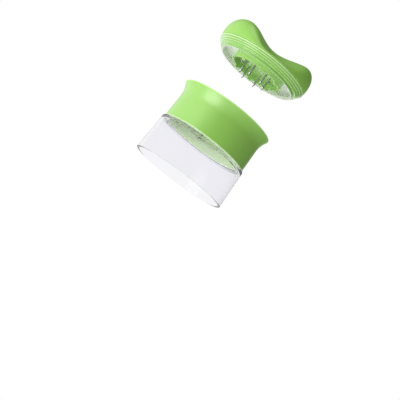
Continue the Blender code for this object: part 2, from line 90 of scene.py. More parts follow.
# %% Make the camera
camera_place = Vector((-0.1253, -0.7911, -0.0951))
camera_aim = Vector((0.0275, -0.0054, -0.0047))
camera_roll = np.radians(36.74)
camera_lens = 81.2


def make_camera():
    """A camera at camera_place that looks at camera_aim and is rolled about its line of sight."""
    data = bpy.data.cameras.new("camera")
    data.lens = camera_lens
    made = new_object("camera", data)
    aim = (camera_aim - camera_place).to_track_quat("-Z", "Y").to_matrix()
    roll = Matrix.Rotation(camera_roll, 3, "Z")
    made.rotation_euler = (aim @ roll).to_euler()
    made.location = camera_place
    return made


bpy.context.scene.camera = make_camera()

# %% [markdown]
# ## Light
#
# The photograph has soft light from the left: left sides are pale, right sides deep green. One wide area
# lamp does that, low and to the left, with the world as fill. A weak second lamp above lays a soft shadow
# under the tool. Each lamp's power follows from the level that it should give.

# %% Make the lamps
def area_lamp(name, place, aim, size, level):
    """A square lamp. P watts at a distance d give a facing white surface the level P / (pi d)^2, so the
    power is level times (pi d)^2."""
    data = bpy.data.lights.new(name, "AREA")
    data.size = size
    towards = Vector(aim) - Vector(place)
    data.energy = level * (np.pi * towards.length) ** 2
    made = new_object(name, data)
    made.location = place
    made.rotation_euler = towards.to_track_quat("-Z", "Y").to_euler()
    print(f"{name}: {data.energy:.1f} W at {towards.length:.2f} m")


tool_middle = (0, 0, 0.075)
area_lamp("left_lamp", (-0.74, -0.49, -0.22), tool_middle, size=0.65, level=0.44)
area_lamp("top_lamp", (-0.35, -0.20, 0.95), tool_middle, size=0.50, level=0.30)

# %% [markdown]
# The world, the finishes and the floor are built from shader nodes. These helpers add a node, feed it, do
# arithmetic and mix, so that every tree after this reads like a formula.

# %% Helpers for shader nodes
def feed(node, inputs):
    """Feeds a node's inputs by name or number. A socket is linked, anything else is the plain value."""
    for name, value in inputs.items():
        if isinstance(value, bpy.types.NodeSocket):
            node.id_data.links.new(value, node.inputs[name])
        else:
            node.inputs[name].default_value = value
    return node


def add_node(tree, kind, inputs={}, **settings):
    """A new shader node of a kind, with its settings and its inputs."""
    made = tree.nodes.new("ShaderNode" + kind)
    for name, value in settings.items():
        setattr(made, name, value)
    return feed(made, inputs)


def math(tree, operation, first, second=0.0):
    """One step of arithmetic on two values."""
    return add_node(tree, "Math", {0: first, 1: second}, operation=operation).outputs[0]


def vector_math(tree, operation, result, first, second=(0, 0, 0)):
    """One step of arithmetic on two vectors. Its result is a Vector or a Value."""
    made = add_node(tree, "VectorMath", {0: first, 1: second}, operation=operation)
    return made.outputs[result]


def level_of(tree, place):
    """The Z of a place."""
    return add_node(tree, "SeparateXYZ", {0: place}).outputs["Z"]


def remap(tree, value, old, new=(0.0, 1.0), smooth=False):
    """Maps a value from the old range to the new one, and holds it at their ends."""
    inputs = {"Value": value, "From Min": old[0], "From Max": old[1], "To Min": new[0], "To Max": new[1]}
    kind = "SMOOTHSTEP" if smooth else "LINEAR"
    return add_node(tree, "MapRange", inputs, interpolation_type=kind).outputs["Result"]


def blend(tree, share, first, second, kind="FLOAT"):
    """Mixes two values, or colours of kind RGBA, by a share: the first at 0 and the second at 1."""
    inputs = {"Factor": share, "A": first, "B": second}
    return add_node(tree, "Mix", inputs, data_type=kind).outputs["Result"]


def blend_shaders(tree, share, first, second):
    """Mixes two shader outputs by a share."""
    return add_node(tree, "MixShader", {0: share, 1: first, 2: second}).outputs[0]


# %% [markdown]
# The world is white to the eye and through clear plastic. For light and for gloss it is a room, bright on
# the left and dim on the right: a white table throws light up from below, and a white backdrop is mirrored
# along the edges that turn away. Light Path tells the kinds of ray apart, and the ray's direction tells
# where it goes. Each pair of levels is for the left and for the right, and each pair of cosines says
# where one side passes into the other.

# %% Make the world
right_side = (0.774, -0.219, 0.594)
backdrop_side = (0.19, 0.97, 0.14)
fill_above, fill_below = (0.74, 0.22), (1.30, 0.45)
gloss_above, gloss_below = (1.4, 0.05), (1.0, 0.12)
fill_turn, gloss_turn, backdrop_turn = (-0.5, 0.8), (-0.7, 0.3), (0.88, 0.98)
table_edge = (-0.5, 0.1)


def share_towards(tree, direction, side, turn):
    """0 for directions away from a side and 1 for those towards it. The cosine between the two is
    their dot product, and turn is the pair of cosines between which the share changes."""
    cosine = vector_math(tree, "DOT_PRODUCT", "Value", direction, side)
    return remap(tree, cosine, turn, smooth=True)


def make_world():
    """Strength 1 for seen rays. Any other ray gets a level that falls from left to right, by one pair of
    levels below the table's edge and by another above it."""
    world = bpy.data.worlds.new("white_room")
    world.use_nodes = True
    tree = world.node_tree
    ray = add_node(tree, "LightPath").outputs
    direction = add_node(tree, "TexCoord").outputs["Generated"]
    side = share_towards(tree, direction, right_side, fill_turn)
    mirrored = share_towards(tree, direction, right_side, gloss_turn)
    above = remap(tree, level_of(tree, direction), table_edge, smooth=True)
    fill = blend(tree, above, blend(tree, side, *fill_below), blend(tree, side, *fill_above))
    gloss = blend(tree, above, blend(tree, mirrored, *gloss_below), blend(tree, mirrored, *gloss_above))
    gloss = blend(tree, share_towards(tree, direction, backdrop_side, backdrop_turn), gloss, 1.0)
    seen = math(tree, "MAXIMUM", ray["Is Camera Ray"], ray["Is Transmission Ray"])
    level = blend(tree, seen, blend(tree, ray["Is Glossy Ray"], fill, gloss), 1.0)
    feed(tree.nodes["Background"], {"Color": (1, 1, 1, 1), "Strength": level})
    bpy.context.scene.world = world


make_world()
bpy.context.scene.view_settings.view_transform = "Standard"

# %% [markdown]
# ## Surfaces from formulas
#
# A primitive with a bevel is rounded the same everywhere. Here each piece is a grid of points instead,
# worked out as whole numpy arrays: rows run along a profile and columns round the axis. A moulding has
# soft corners, so its outline is rounded first.

# %% Helpers for outlines and grids
def soften(outline, steps=8):
    """Rounds the corners of an outline of (radius, level, setback in mm) rows. Corner P becomes the curve
    (1 - t)^2 A + 2 t (1 - t) P + t^2 B, where A and B lie the setback away from P on its two sides."""
    outline = np.array(outline, float)
    corner, setback = outline[:, :2], outline[:, 2:] * mm
    before = np.roll(corner, 1, axis=0) - corner
    after = np.roll(corner, -1, axis=0) - corner
    start = corner + before * setback / np.linalg.norm(before, axis=1, keepdims=True)
    end = corner + after * setback / np.linalg.norm(after, axis=1, keepdims=True)
    t = np.linspace(0, 1, steps)[:, None, None]
    curve = (1 - t) ** 2 * start + 2 * t * (1 - t) * corner + t**2 * end
    return curve.transpose(1, 0, 2).reshape(-1, 2)


def turned_grid(profile, around=240):
    """Carries (radius, level) rows round the axis: x = radius cos(angle), y = radius sin(angle)."""
    angle = np.linspace(0, 2 * np.pi, around, endpoint=False)
    radius = profile[:, :1]
    level = profile[:, 1:] + 0 * angle
    return np.stack([radius * np.cos(angle), radius * np.sin(angle), level], axis=-1)


def prism_grid(outline, low, high):
    """An upright prism on (x, y) rows: the outline at two levels, closed by its middle point at both."""
    middle = 0 * outline + outline.mean(axis=0)
    flat = np.stack([middle, outline, outline, middle])
    level = np.array([high, high, low, low])[:, None, None] + 0 * flat[..., :1]
    return np.concatenate([flat, level], axis=-1)


def circle(place, radius, points=32):
    """Points of a circle at even angles."""
    angle = np.linspace(0, 2 * np.pi, points, endpoint=False)[:, None]
    return np.array(place) + radius * np.hstack([np.cos(angle), np.sin(angle)])


def rectangle(low, high):
    """The four corners of a rectangle, anticlockwise."""
    return np.array([(high[0], high[1]), (low[0], high[1]), (low[0], low[1]), (high[0], low[1])])


# %% [markdown]
# A grid becomes a mesh when neighbouring rows and columns are joined by four sided faces. The columns
# close on themselves. The rows do so too where the profile is a ring, and otherwise both ends lie on the
# axis, where the points are merged. The volume that a piece reports is positive only when its faces
# point outwards.

# %% Helpers that make meshes
merge_distance = 0.0005 * mm
crease_angle = np.radians(38)


def grid_faces(rows, columns, ring):
    """Joins point (row, column) to the next row and the next column. ring closes the rows too."""
    row = columns * np.arange(rows if ring else rows - 1)[:, None]
    column = np.arange(columns)[None, :]
    next_row = (row + columns) % (rows * columns)
    next_column = (column + 1) % columns
    corners = [row + column, next_row + column, next_row + next_column, row + next_column]
    return np.stack(np.broadcast_arrays(*corners), axis=-1).reshape(-1, 4)


def grids_to_mesh(name, grids, ring=False):
    """One mesh from one or more grids, with doubled points merged."""
    points = np.concatenate([grid.reshape(-1, 3) for grid in grids])
    counts = np.cumsum([0] + [grid.shape[0] * grid.shape[1] for grid in grids])
    faces = np.concatenate([grid_faces(*grid.shape[:2], ring) + at for grid, at in zip(grids, counts)])
    mesh = bpy.data.meshes.new(name)
    mesh.from_pydata(points, [], faces)
    shape = bmesh.new()
    shape.from_mesh(mesh)
    bmesh.ops.remove_doubles(shape, verts=shape.verts, dist=merge_distance)
    shape.to_mesh(mesh)
    shape.free()
    return mesh


def cut_away(piece, grids):
    """Cuts the closed forms in grids out of a piece, and keeps the result as its mesh."""
    cutter = new_object("cutter", grids_to_mesh("cutter", grids))
    step = piece.modifiers.new("cut", "BOOLEAN")
    step.operation = "DIFFERENCE"
    step.solver = "EXACT"
    step.object = cutter
    depsgraph = bpy.context.evaluated_depsgraph_get()
    result = bpy.data.meshes.new_from_object(piece.evaluated_get(depsgraph))
    piece.modifiers.clear()
    piece.data = result
    bpy.data.objects.remove(cutter)


def split_into_triangles(piece):
    """Makes every face flat, as a cut needs: the four corners of a twisted face aren't on one plane."""
    shape = bmesh.new()
    shape.from_mesh(piece.data)
    bmesh.ops.triangulate(shape, faces=shape.faces)
    shape.to_mesh(piece.data)
    shape.free()


def finish_piece(piece, finish, body, replaced):
    """Gives a piece its finish and its body, hides the node it stands for, and shades it smooth."""
    piece.data.materials.clear()
    piece.data.materials.append(finishes[finish])
    piece.data.shade_smooth()
    piece.data.set_sharp_from_angle(angle=crease_angle)
    even = piece.modifiers.new("even_normals", "WEIGHTED_NORMAL")
    even.keep_sharp = True
    shape = bmesh.new()
    shape.from_mesh(piece.data)
    volume = shape.calc_volume(signed=True) / mm**3 / 1000
    loose = sum(1 for edge in shape.edges if len(edge.link_faces) != 2)
    shape.free()
    print(f"{piece.name}: {len(piece.data.polygons)} faces, {volume:.2f} cm3, open edges {loose}")
    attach(piece, body)
    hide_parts(replaced)


def add_piece(name, grid, ring=False, holes=()):
    """An object made from a grid, with closed forms cut out of it."""
    piece = new_object(name, grids_to_mesh(name, [grid], ring))
    if len(holes):
        cut_away(piece, holes)
    return piece


def turned_piece(name, outline, around=240, steps=8, holes=()):
    """An object turned from a closed outline of (radius, level, setback in mm) rows."""
    return add_piece(name, turned_grid(soften(outline, steps), around), ring=True, holes=holes)


# %% [markdown]
# ## Finishes
#
# Five finishes cover the tool: clear plastic, soft green, hard green, pale core plastic and steel. Fine
# texture and marks of use are worked out once, as node groups that read the piece's own coordinates, and
# each finish takes what it needs.

# %% Noise and group helpers
def own_place(tree):
    """The piece's own coordinates, in metres."""
    return add_node(tree, "TexCoord").outputs["Object"]


def draw_out(tree, place, scale):
    """Coordinates scaled along each axis. A small scale draws a noise out along its axis."""
    return add_node(tree, "Mapping", {"Vector": place, "Scale": scale}).outputs["Vector"]


def noise(tree, place, scale, detail=2.0, roughness=0.5):
    """A noise texture that reads the coordinates given."""
    inputs = {"Vector": place, "Scale": scale, "Detail": detail, "Roughness": roughness}
    return add_node(tree, "TexNoise", inputs).outputs["Fac"]


def new_group(name, inputs, outputs):
    """A shader node group with number inputs of default values, and number outputs."""
    tree = bpy.data.node_groups.new(name, "ShaderNodeTree")
    for socket_name, value in inputs.items():
        made = tree.interface.new_socket(socket_name, in_out="INPUT", socket_type="NodeSocketFloat")
        made.default_value = value
    for socket_name in outputs:
        tree.interface.new_socket(socket_name, in_out="OUTPUT", socket_type="NodeSocketFloat")
    return tree, tree.nodes.new("NodeGroupInput"), tree.nodes.new("NodeGroupOutput")


# %% [markdown]
# Moulded plastic isn't perfectly even. Its tone drifts slowly as the melt cools, and a textured mould
# leaves a fine grain. The first group gives both: a fine noise is the grain, and a much larger one is the
# tone, stretched along the axis, the way the melt flows.

# %% The moulding group
tone_coarseness = 60.0
flow_scale = (1.0, 1.0, 0.33)
tone_range = (0.3, 0.7)


def make_moulding_group():
    """Grain is noise at the given fineness, in features a metre. Tone is noise 60 times coarser,
    drawn out three times along the axis, and pushed apart to fill 0 to 1."""
    tree, given, result = new_group("moulding", {"Fineness": 2500.0}, ["Grain", "Tone"])
    place = own_place(tree)
    grain = noise(tree, place, given.outputs["Fineness"], detail=3.0, roughness=0.6)
    coarse = math(tree, "DIVIDE", given.outputs["Fineness"], tone_coarseness)
    tone = noise(tree, draw_out(tree, place, flow_scale), coarse)
    feed(result, {"Grain": grain, "Tone": remap(tree, tone, tone_range)})
    return tree


moulding = make_moulding_group()

# %% [markdown]
# Use leaves hairline scratches and the dull smudges of fingers. A noise already holds thin curved lines:
# wherever it crosses its middle value. The second group keeps a narrow band about that value as
# scratches, in patches where a coarser noise is high. A third noise makes the smudges.

# %% The marks group
scratch_width = 0.004
patch_scale, patch_range = 0.6, (0.52, 0.62)
smudge_scale, smudge_range = 0.35, (0.4, 0.7)


def make_marks_group():
    """Scratches is 1 where noise is within a thin band of one half, times a patch mask. Smudges is a
    slow noise with its middle stretched. The scales are shares of the density of the scratches."""
    tree, given, result = new_group("marks_of_use", {"Density": 90.0}, ["Scratches", "Smudges"])
    place = own_place(tree)
    density = given.outputs["Density"]
    lines = noise(tree, place, density, detail=1.0)
    distance = math(tree, "ABSOLUTE", math(tree, "SUBTRACT", lines, 0.5))
    thin = remap(tree, distance, (0.0, scratch_width), (1.0, 0.0))
    patches = noise(tree, place, math(tree, "MULTIPLY", density, patch_scale))
    where = remap(tree, patches, patch_range, smooth=True)
    smudges = noise(tree, place, math(tree, "MULTIPLY", density, smudge_scale), detail=4.0)
    smudged = remap(tree, smudges, smudge_range, smooth=True)
    feed(result, {"Scratches": math(tree, "MULTIPLY", thin, where), "Smudges": smudged})
    return tree


marks_of_use = make_marks_group()

# %% [markdown]
# The Principled shader of a finish has its plain numbers set on its own sockets, and what changes over
# the surface comes through links. Colours are written as they look on a screen, from 0 to 255, and turned
# into the linear values that light is worked out in.

# %% Helpers for finishes
def linear(colour):
    """A screen colour as linear light: below 0.04045 a share is divided by 12.92, and above it
    ((share + 0.055) / 1.055) is raised to the power 2.4."""
    share = np.array(colour) / 255
    value = np.where(share <= 0.04045, share / 12.92, ((share + 0.055) / 1.055) ** 2.4)
    return (*value.tolist(), 1.0)


finishes = {}


def new_finish(name, inputs):
    """A material, its tree, and its Principled shader with that shader's plain values."""
    made = bpy.data.materials.new(name)
    made.use_nodes = True
    return made, made.node_tree, feed(made.node_tree.nodes["Principled BSDF"], inputs)


def use_group(tree, group, inputs):
    """The outputs of a node group that has its own values."""
    return add_node(tree, "Group", inputs, node_tree=group).outputs


def blend_colours(tree, share, *colours):
    """Mixes two colours by a share that changes over the surface. Each is a screen colour or a socket."""
    ends = [linear(colour) if isinstance(colour, tuple) else colour for colour in colours]
    return blend(tree, share, *ends, kind="RGBA")


def radius_and_level(tree):
    """The distance from the tool's axis, or the length of the place at level 0, and the level."""
    place = own_place(tree)
    flat = vector_math(tree, "MULTIPLY", "Vector", place, (1, 1, 0))
    return vector_math(tree, "LENGTH", "Value", flat), level_of(tree, place)


def dress(tree, shader, colour, roughness, height, depth, strength):
    """Feeds a shader its colour, its roughness, and its normal from a height whose full range stands
    for depth metres."""
    inputs = {"Height": height, "Distance": depth, "Strength": strength}
    normal = add_node(tree, "Bump", inputs).outputs["Normal"]
    feed(shader, {"Base Color": colour, "Roughness": roughness, "Normal": normal})


def worn_roughness(tree, slow, ends, marks, lift):
    """Roughness that goes from one end to the other with a slow value, and that marks lift."""
    return math(tree, "ADD", remap(tree, slow, (0.0, 1.0), ends), math(tree, "MULTIPLY", marks, lift))


# %% [markdown]
# ### Soft green
#
# Collar and grip are a soft rubbery plastic: matt, with a broad pale sheen and a grain just fine enough to
# kill the mirror. Colour drifts a little, and handled places are smoother. The collar has two places of
# painted light: a paler band along its lip and its foot is a painted highlight, and its inside is painted
# pale for the light and the white reflection seen there through the clear liner.

# %% Soft green
soft_shades = (138, 194, 80), (145, 200, 88)
handled_smoothing = 0.05
# Painted light: within this radius the collar's inside is painted pale, for the light and the white
# reflection seen there through the liner.
painted_light_radius = 41.0 * mm
painted_light_fade = 0.5 * mm
painted_inside_light = (238, 255, 216)
# Painted highlight: the collar's lip and foot edges get a paler band of this colour and width.
edge_highlight_width = 0.9 * mm
painted_edge_highlight = (188, 232, 142)


def make_soft_green(name, sheen, roughness, is_collar):
    """A rubbery plastic: the tone drifts and handled places are smoother. On the collar the share of the
    painted edge highlight rises to 1 at the lip and at the foot, and that of the painted pale inside
    within its radius."""
    material, tree, shader = new_finish(name, {"IOR": 1.5, "Specular IOR Level": sheen})
    body = use_group(tree, moulding, {"Fineness": 2600.0})
    marks = use_group(tree, marks_of_use, {"Density": 70.0})
    colour = blend_colours(tree, body["Tone"], *soft_shades)
    if is_collar:
        radius, level = radius_and_level(tree)
        # Painted highlight: a paler band along the lip and along the foot.
        lip_highlight = remap(tree, level, (lip_level - edge_highlight_width, lip_level - edge_highlight_width / 2))
        foot_highlight = remap(tree, level, (collar_foot + edge_highlight_width, collar_foot + edge_highlight_width / 2))
        colour = blend_colours(tree, math(tree, "MAXIMUM", lip_highlight, foot_highlight), colour, painted_edge_highlight)
        # Painted light: the inside is painted pale, fading in over a short distance.
        inside = remap(tree, radius, (painted_light_radius, painted_light_radius - painted_light_fade))
        colour = blend_colours(tree, inside, colour, painted_inside_light)
    ends = (roughness, roughness - handled_smoothing)
    handled = remap(tree, marks["Smudges"], (0.0, 1.0), ends)
    dress(tree, shader, colour, handled, body["Grain"], depth=0.02 * mm, strength=0.6)
    return material


finishes["soft_green"] = make_soft_green("rubbery_green", sheen=0.6, roughness=0.44, is_collar=False)
finishes["collar_green"] = make_soft_green("rubbery_collar", sheen=1.0, roughness=0.34, is_collar=True)

# %% [markdown]
# ### Hard green
#
# Hub, deck and guide are a harder, glossier plastic of a lighter green. Hairline scratches show on it:
# they lift the roughness.

# %% Hard green
hard_shades = (154, 202, 108), (162, 208, 117)


def make_hard_green():
    """A glossy plastic: the tone drifts, and scratches roughen it."""
    material, tree, shader = new_finish("glossy_green", {"IOR": 1.5})
    body = use_group(tree, moulding, {"Fineness": 1800.0})
    marks = use_group(tree, marks_of_use, {"Density": 110.0})
    colour = blend_colours(tree, body["Tone"], *hard_shades)
    roughness = worn_roughness(tree, marks["Smudges"], (0.22, 0.30), marks["Scratches"], lift=0.25)
    dress(tree, shader, colour, roughness, body["Grain"], depth=0.006 * mm, strength=0.4)
    return material


finishes["hard_green"] = make_hard_green()

# %% [markdown]
# ### Core plastic
#
# The core inside the grip is pale and plain. The guard and the grip hide most of it.

# %% Core plastic
core_shades = (214, 221, 209), (224, 230, 220)


def make_core_plastic():
    """A plain plastic: colour and roughness drift together."""
    material, tree, shader = new_finish("pale_core", {"IOR": 1.5})
    body = use_group(tree, moulding, {"Fineness": 1500.0})
    colour = blend_colours(tree, body["Tone"], *core_shades)
    roughness = remap(tree, body["Tone"], (0.0, 1.0), (0.36, 0.44))
    dress(tree, shader, colour, roughness, body["Grain"], depth=0.01 * mm, strength=0.5)
    return material


finishes["core_plastic"] = make_core_plastic()

# %% [markdown]
# ### Steel
#
# Blade, comb, tube, pins and screws are bright steel, ground in one direction. The grinding is a noise
# squeezed along Y and Z and drawn out along X, which gives long fine grooves.

# %% Steel
steel_shades = (188, 190, 192), (214, 215, 216)
groove_scale = (0.04, 1.0, 1.0)
groove_fineness = 6000.0


def make_blade_steel():
    """A bright metal: the grooves carry the colour, the roughness and the bump, and smudges dull it."""
    material, tree, shader = new_finish("ground_steel", {"Metallic": 1.0})
    place = draw_out(tree, own_place(tree), groove_scale)
    grooves = noise(tree, place, groove_fineness, detail=3.0)
    marks = use_group(tree, marks_of_use, {"Density": 130.0})
    colour = blend_colours(tree, grooves, *steel_shades)
    spread = remap(tree, grooves, tone_range)
    roughness = worn_roughness(tree, spread, (0.20, 0.32), marks["Smudges"], lift=0.10)
    dress(tree, shader, colour, roughness, grooves, depth=0.004 * mm, strength=0.5)
    return material


finishes["blade_steel"] = make_blade_steel()

# %% [markdown]
# ### Clear plastic
#
# Clear plastic bends the light that passes. The cup's wall and its liner stand one behind the other, and
# the full index of a food plastic would darken the green behind them, so the cup has a low index. Seen
# edge on, a wall is greyer, which Layer Weight's Facing gives, and fingers dull it in places. Lamps have to
# light what is inside the cup, so their rays pass straight through.
#
# The guard shows the green of grip and hub through its wall, and that green is painted on: it is made as
# a milky plastic that lets little through, painted green outside, with paler painted highlight lines along
# its ribs, under a glossy coat.

# %% Clear plastic
guard_brim = 0.8 * mm
plug_depth = 2.3 * mm
rib_count = 3
# Painted highlight: the sharpness and the lowest strength of the pale lines painted on the ribs.
rib_highlight_sharpness = 6.0
lowest_rib_highlight = 0.2
plug_middle, wall_middle = 38.2 * mm, 40.6 * mm
middle_step, middle_fade = 0.2 * mm, 0.8 * mm
wall_top = guard_top - guard_brim
wall_bottom = plug_bottom + plug_depth


def painted_guard_wall(tree, plain, painted_through_green, painted_rib_highlight):
    """The plain colour inside, and outside the painted colours: green for grip and hub seen through the
    wall, and pale highlight lines on the ribs. They begin at one radius on the plug and at another above
    it. A level is on a rib by a power of the cosine of its height in ribs, and the painted rib highlights
    grow stronger towards the brim."""
    # Painted: green for what shows through the wall, and pale highlight lines on the ribs.
    radius, level = radius_and_level(tree)
    whole = (plug_bottom, wall_top)
    lowest_turn = -np.pi * rib_count * plug_depth / (wall_top - wall_bottom)
    turns = remap(tree, level, whole, (lowest_turn, np.pi * rib_count))
    crest = math(tree, "POWER", math(tree, "ABSOLUTE", math(tree, "COSINE", turns)), rib_highlight_sharpness)
    rib_highlight_share = math(tree, "MULTIPLY", crest, remap(tree, level, whole, (lowest_rib_highlight, 1.0)))
    ribbed = blend_colours(tree, rib_highlight_share, painted_through_green, painted_rib_highlight)
    begins = remap(tree, level, (wall_bottom, wall_bottom + middle_step), (plug_middle, wall_middle))
    outwards = remap(tree, math(tree, "SUBTRACT", radius, begins), (0.0, middle_fade))
    return blend_colours(tree, outwards, plain, ribbed)


def make_clear_plastic(name, through, edge_on, roughness, clear_share, index, coat=0.0, wall=None):
    """Clear plastic, coloured through straight on and edge_on where the wall turns away. clear_share is
    below 1 for a milky plastic. wall holds the guard's two painted outer colours: the green seen through
    it and the pale rib highlights."""
    plain = {"IOR": index, "Transmission Weight": clear_share, "Coat Weight": coat, "Coat Roughness": 0.2}
    material, tree, shader = new_finish(name, plain)
    marks = use_group(tree, marks_of_use, {"Density": 80.0})
    facing = add_node(tree, "LayerWeight", {"Blend": 0.35}).outputs["Facing"]
    turned_away = math(tree, "POWER", facing, 2.0)
    colour = blend_colours(tree, turned_away, through, edge_on)
    if wall:
        colour = painted_guard_wall(tree, colour, *wall)
    ends = (roughness, roughness + 0.03)
    worn = worn_roughness(tree, marks["Smudges"], ends, marks["Scratches"], lift=0.10)
    dress(tree, shader, colour, worn, marks["Scratches"], depth=0.002 * mm, strength=0.3)
    open_way = add_node(tree, "BsdfTransparent").outputs[0]
    in_shadow = add_node(tree, "LightPath").outputs["Is Shadow Ray"]
    surface = blend_shaders(tree, in_shadow, shader.outputs["BSDF"], open_way)
    feed(tree.nodes["Material Output"], {"Surface": surface})
    return material


finishes["clear_plastic"] = make_clear_plastic(
    "clear_wall", (246, 246, 249), (239, 239, 243), roughness=0.05, clear_share=1.0, index=1.20
)
# The guard's two wall colours are painted: the green of grip and hub seen through it, and pale rib
# highlights.
finishes["clear_guard"] = make_clear_plastic(
    "clear_flange", (236, 242, 232), (220, 228, 216), roughness=0.15, clear_share=0.05, index=1.49,
    coat=0.6, wall=((128, 186, 74), (204, 231, 172)),
)

# %% [markdown]
# ## The clear cup
#
# Cup, shoulder, liner and ledge are one moulding, so they are one turned profile. It runs down the
# outside from the flared mouth, over the shoulder and the foot, and up the inside past the ledge that
# carries the deck on three screws.

# %% Make the cup
fit_gap = 0.3 * mm
cup_wall = 2.4 * mm
cup_flare = 1.5 * mm
liner_wall = 2.2 * mm
ledge_thickness = 2.4 * mm
ledge_width = 4.3 * mm
flare_height = 11.0 * mm
liner_bore = deck_radius + fit_gap
liner_radius = liner_bore + liner_wall
cup_top = collar_foot - fit_gap
shoulder_radius = cup_radius - cup_flare
ledge_top = deck_bottom - fit_gap
ledge_bottom = ledge_top - ledge_thickness
ledge_bore = liner_bore - ledge_width
flare_level = lip_level - flare_height
collar_wall = 2.1 * mm
lip_width = 2.7 * mm
mouth_radius = lip_radius - lip_width - fit_gap
flare_setback = 3.0
screw_hole = 1.3 * mm
ledge_screws = [f"deck_screw_{number}" for number in (1, 2, 3)]


def middle_of(node):
    """The middle of a node's box, seen from above."""
    low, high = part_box(node)
    return ((low.x + high.x) / 2, (low.y + high.y) / 2)


def holes_at(nodes, radius, low, high):
    """Upright round holes where the nodes stand."""
    return [prism_grid(circle(middle_of(node), radius), low, high) for node in nodes]


def make_cup():
    """One closed outline, turned, with the ledge's screw holes cut out."""
    outline = [
        (mouth_radius, liner_top, 0.4),
        (liner_radius, flare_level, flare_setback),
        (liner_radius, cup_top, 0.5),
        (shoulder_radius, cup_top, 1.3),
        (cup_radius, foot_level, 0.7),
        (cup_radius - cup_wall, foot_level, 0.7),
        (shoulder_radius - cup_wall, cup_top - cup_wall, 1.3),
        (liner_bore, cup_top - cup_wall, 0.6),
        (liner_bore, ledge_bottom, 0.5),
        (ledge_bore, ledge_bottom, 0.4),
        (ledge_bore, ledge_top, 0.4),
        (liner_bore, ledge_top, 0.1),
        (liner_bore, flare_level, flare_setback),
        (mouth_radius - liner_wall, liner_top, 0.4),
    ]
    holes = holes_at(ledge_screws, screw_hole, ledge_bottom - mm, ledge_top + mm)
    return turned_piece("cup_shell", outline, holes=holes)


finish_piece(make_cup(), "clear_plastic", "cutter_body", "clear_cup")

# %% [markdown]
# ## The soft collar
#
# The collar hugs the liner. From its waist it flares to the lip along a parabola: the radius grows with
# the square of the height above the waist. The rest is straight, with soft corners.

# %% Make the collar
flare_points = 16
lip_flare = 4.0 * mm
collar_flare_height = 13.2 * mm
collar_foot_flare = 0.6 * mm


def make_collar():
    """Outside: radius = waist + lip flare times (height above the waist / flare height) squared."""
    bore = liner_radius + fit_gap
    waist = bore + collar_wall
    share = np.linspace(1, 0, flare_points)[1:-1]
    level = lip_level - collar_flare_height * (1 - share)
    curve = np.stack([waist + lip_flare * share**2, level, 0 * share], axis=1)
    outline = [
        (lip_radius, lip_level, 0.7),
        *curve.tolist(),
        (waist, lip_level - collar_flare_height, 0),
        (waist + collar_foot_flare, collar_foot, 0.9),
        (bore, collar_foot, 0.4),
        (bore, flare_level, flare_setback),
        (lip_radius - lip_width, lip_level, 0.7),
    ]
    return turned_piece("collar_sleeve", outline)


finish_piece(make_collar(), "collar_green", "cutter_body", "collar_grip")

# %% [markdown]
# ## The deck
#
# The deck's floor climbs once round like a spiral stair, by the thickness of one slice. So its profile
# depends on the angle, and the last column stands a full step above the first: the faces between the two
# make the step's wall. Slot, pockets and holes are cut afterwards.

# %% Make the deck
deck_thickness = 3.0 * mm
slice_thickness = 3.3 * mm
boss_radius = 5.3 * mm
core_hole = 4.1 * mm
deck_rim = 5.5 * mm
deck_chamfer = 0.3 * mm
feed_bore = deck_radius - deck_rim
deck_floor = deck_bottom + deck_thickness
slot_margin = 0.8 * mm
slot_front, slot_back = -3.0 * mm, 5.0 * mm
slot_inner = boss_radius + slot_margin
slot_outer = feed_bore - slot_margin
blade_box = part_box("slicing_blade")
comb_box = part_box("julienne_comb")
deck_screws = ["blade_screw_1", "blade_screw_2", "comb_screw_1", "comb_screw_2"]
cut_margin = 2.0 * mm
pocket_play = 0.1 * mm
step_lean = 0.002


def ramp_grid(around=241):
    """Rows are the deck's profile, columns the angle from 0 to almost a full turn: the step's wall leans
    by the rest. Rows inside the rim take the level floor + slice thickness times angle / full turn."""
    turn = np.linspace(0, 1 - step_lean, around)
    rows = [
        (0.0, deck_top, 0),
        (boss_radius, deck_top, 0),
        (boss_radius, deck_floor, 1),
        (feed_bore, deck_floor, 1),
        (feed_bore, deck_top, 0),
        (deck_radius - deck_chamfer, deck_top, 0),
        (deck_radius, deck_top - deck_chamfer, 0),
        (deck_radius, deck_bottom + deck_chamfer, 0),
        (deck_radius - deck_chamfer, deck_bottom, 0),
        (0.0, deck_bottom, 0),
    ]
    radius, level, climbs = (column[:, None] for column in np.array(rows).T)
    angle = 2 * np.pi * turn
    height = level + climbs * slice_thickness * turn
    return np.stack([radius * np.cos(angle), radius * np.sin(angle), height], axis=-1)


def make_deck():
    """The ramp, with the slot, a pocket for the blade, one for the comb, and holes cut out of it. The
    pockets are a little longer than the slot and pass the step, so that no two cuts share a plane."""
    low, high, play = deck_bottom - cut_margin, deck_top + cut_margin, pocket_play
    slot = rectangle((slot_inner, slot_front), (slot_outer, slot_back))
    blade = rectangle((slot_inner - play, blade_box[0].y - fit_gap), (slot_outer + play, play))
    comb = rectangle((slot_inner - 2 * play, -play), (slot_outer + 2 * play, comb_box[1].y + fit_gap))
    holes = [
        prism_grid(slot, low, high),
        prism_grid(blade, blade_box[0].z - fit_gap, high),
        prism_grid(comb, comb_box[0].z - fit_gap, high),
        prism_grid(circle((0, 0), core_hole, points=64), low, high),
        *holes_at(deck_screws + ledge_screws, screw_hole, low, high),
    ]
    piece = add_piece("deck_plate", ramp_grid())
    for hole in holes:
        split_into_triangles(piece)
        cut_away(piece, [hole])
    return piece


finish_piece(make_deck(), "hard_green", "cutter_body", "blade_deck")

# %% [markdown]
# ## The feed guide
#
# A funnel above the deck, wide at its brim and narrow at its throat. It is one more turned profile.

# %% Make the guide
guide_flange = 3.0 * mm
guide_wall = 2.0 * mm
guide_screw_depth = 2.3 * mm


